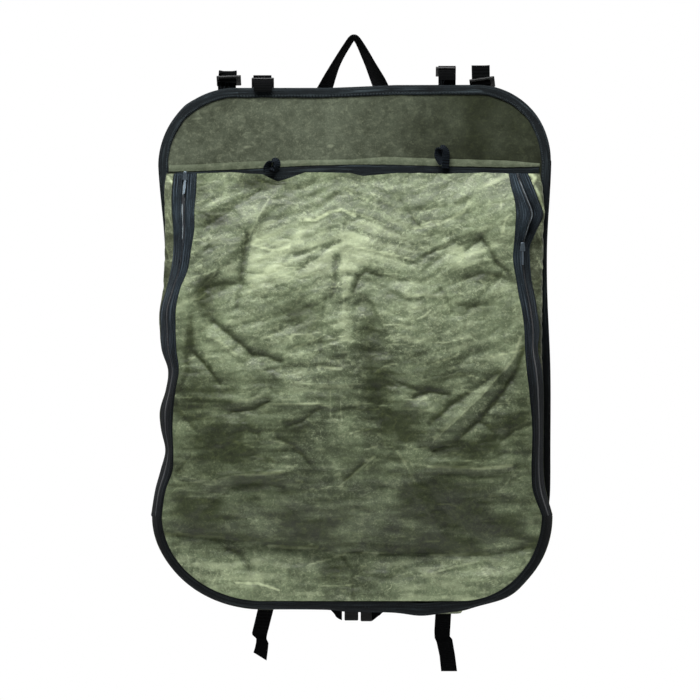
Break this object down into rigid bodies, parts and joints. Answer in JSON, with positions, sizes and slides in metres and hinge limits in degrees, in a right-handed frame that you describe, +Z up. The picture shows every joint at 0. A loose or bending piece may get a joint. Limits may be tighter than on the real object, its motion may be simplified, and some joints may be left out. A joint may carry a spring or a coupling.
{
  "type": "jumper cable bag",
  "caption": "Hanging olive waxed canvas jumper cable bag: a slack zipped pouch on a stiff bound back panel, with a webbing grab handle, stubs and straps.",
  "frame": {"origin": "the point on which the grab handle hangs, at the top of its webbing", "axes": "+Z up along the bag, -Y out of the pouch's front, +Y behind the back panel, +X to the right seen from the front"},
  "size_m": [0.5111, 0.086, 0.8061],
  "materials": {
    "canvas": "waxed",
    "panel_canvas": "waxed",
    "binding_tape": "matt",
    "zip_tape": "matt",
    "zip_teeth": "satin",
    "webbing": "matt",
    "plastic": "satin",
    "zip_metal": "satin"
  },
  "bodies": {
    "root": {"back_panel": "panel_canvas", "back_binding": "binding_tape", "hem_strip": "canvas", "top_band": "binding_tape", "front_panel": "canvas", "gusset_left": "canvas", "gusset_right": "canvas", "gusset_bottom": "canvas", "bottom_binding": "binding_tape", "front_tape_left": "zip_tape", "front_tape_right": "zip_tape", "rear_tape_left": "zip_tape", "rear_tape_right": "zip_tape", "coil_left": "zip_teeth", "coil_right": "zip_teeth", "coil_right_front": "zip_teeth", "coil_right_rear": "zip_teeth", "zip_slider_left": "zip_metal", "zip_slider_right": "zip_metal", "zip_pull_left": "zip_metal", "zip_pull_right": "zip_metal", "handle": "webbing", "top_strap_1": "webbing", "top_strap_2": "webbing", "top_strap_3": "webbing", "top_strap_4": "webbing", "strap_slider_1": "plastic", "strap_slider_2": "plastic", "strap_slider_3": "plastic", "strap_slider_4": "plastic", "loop_left": "webbing", "loop_right": "webbing", "lower_strap_left": "webbing", "lower_strap_right": "webbing", "waist_strap_left": "webbing", "waist_strap_right": "webbing", "buckle_socket": "plastic", "buckle_plug": "plastic"}
  },
  "joints": []
}
